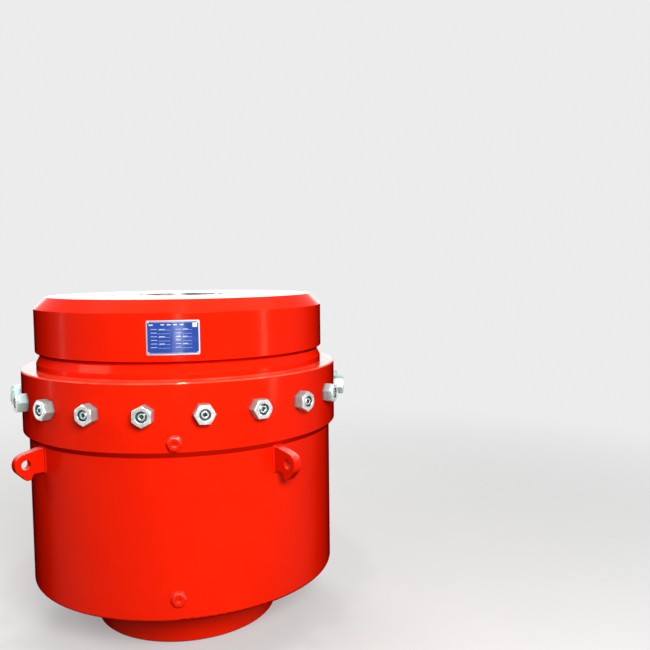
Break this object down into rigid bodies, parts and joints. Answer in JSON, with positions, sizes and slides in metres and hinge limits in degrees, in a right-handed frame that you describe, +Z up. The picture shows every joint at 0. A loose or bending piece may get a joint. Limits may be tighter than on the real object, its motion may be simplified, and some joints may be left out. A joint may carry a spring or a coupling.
{
  "type": "annular blowout preventer",
  "caption": "Round annular blowout preventer: latched head on a wide body with radial lock screws, lifting padeyes, bottom flange and studded top.",
  "frame": {"origin": "centre of the bore on the raised face of the bottom flange", "axes": "+Z up the bore; -Y is the front, with the nameplate and both hydraulic ports"},
  "size_m": [1.6216, 1.6216, 1.6],
  "materials": {
    "red_enamel": "glossy enamel",
    "zinc_steel": "bright zinc plate",
    "screw_steel": "machined",
    "forged_steel": "machined, oiled",
    "packing_rubber": "matt moulded",
    "name_plate": "printed, satin",
    "rivet_metal": "plain"
  },
  "bodies": {
    "root": {"body": "red_enamel", "body_sleeve": "forged_steel", "closing_port_plug": "red_enamel", "head": "red_enamel", "latch_gland_nut_01": "zinc_steel", "latch_gland_nut_02": "zinc_steel", "latch_gland_nut_03": "zinc_steel", "latch_gland_nut_04": "zinc_steel", "latch_gland_nut_05": "zinc_steel", "latch_gland_nut_06": "zinc_steel", "latch_gland_nut_07": "zinc_steel", "latch_gland_nut_08": "zinc_steel", "latch_gland_nut_09": "zinc_steel", "latch_gland_nut_10": "zinc_steel", "latch_gland_nut_11": "zinc_steel", "latch_gland_nut_12": "zinc_steel", "latch_gland_nut_13": "zinc_steel", "latch_gland_nut_14": "zinc_steel", "latch_gland_nut_15": "zinc_steel", "latch_gland_nut_16": "zinc_steel", "latch_gland_nut_17": "zinc_steel", "latch_gland_nut_18": "zinc_steel", "latch_gland_nut_19": "zinc_steel", "latch_gland_nut_20": "zinc_steel", "latch_screws": "screw_steel", "latch_segments": "forged_steel", "name_plate": "name_plate", "name_plate_rivets": "rivet_metal", "opening_port_plug": "red_enamel", "packing_inserts": "forged_steel", "packing_rubber": "packing_rubber", "padeye_1": "red_enamel", "padeye_2": "red_enamel", "padeye_3": "red_enamel", "padeye_4": "red_enamel", "piston": "forged_steel"}
  },
  "joints": []
}
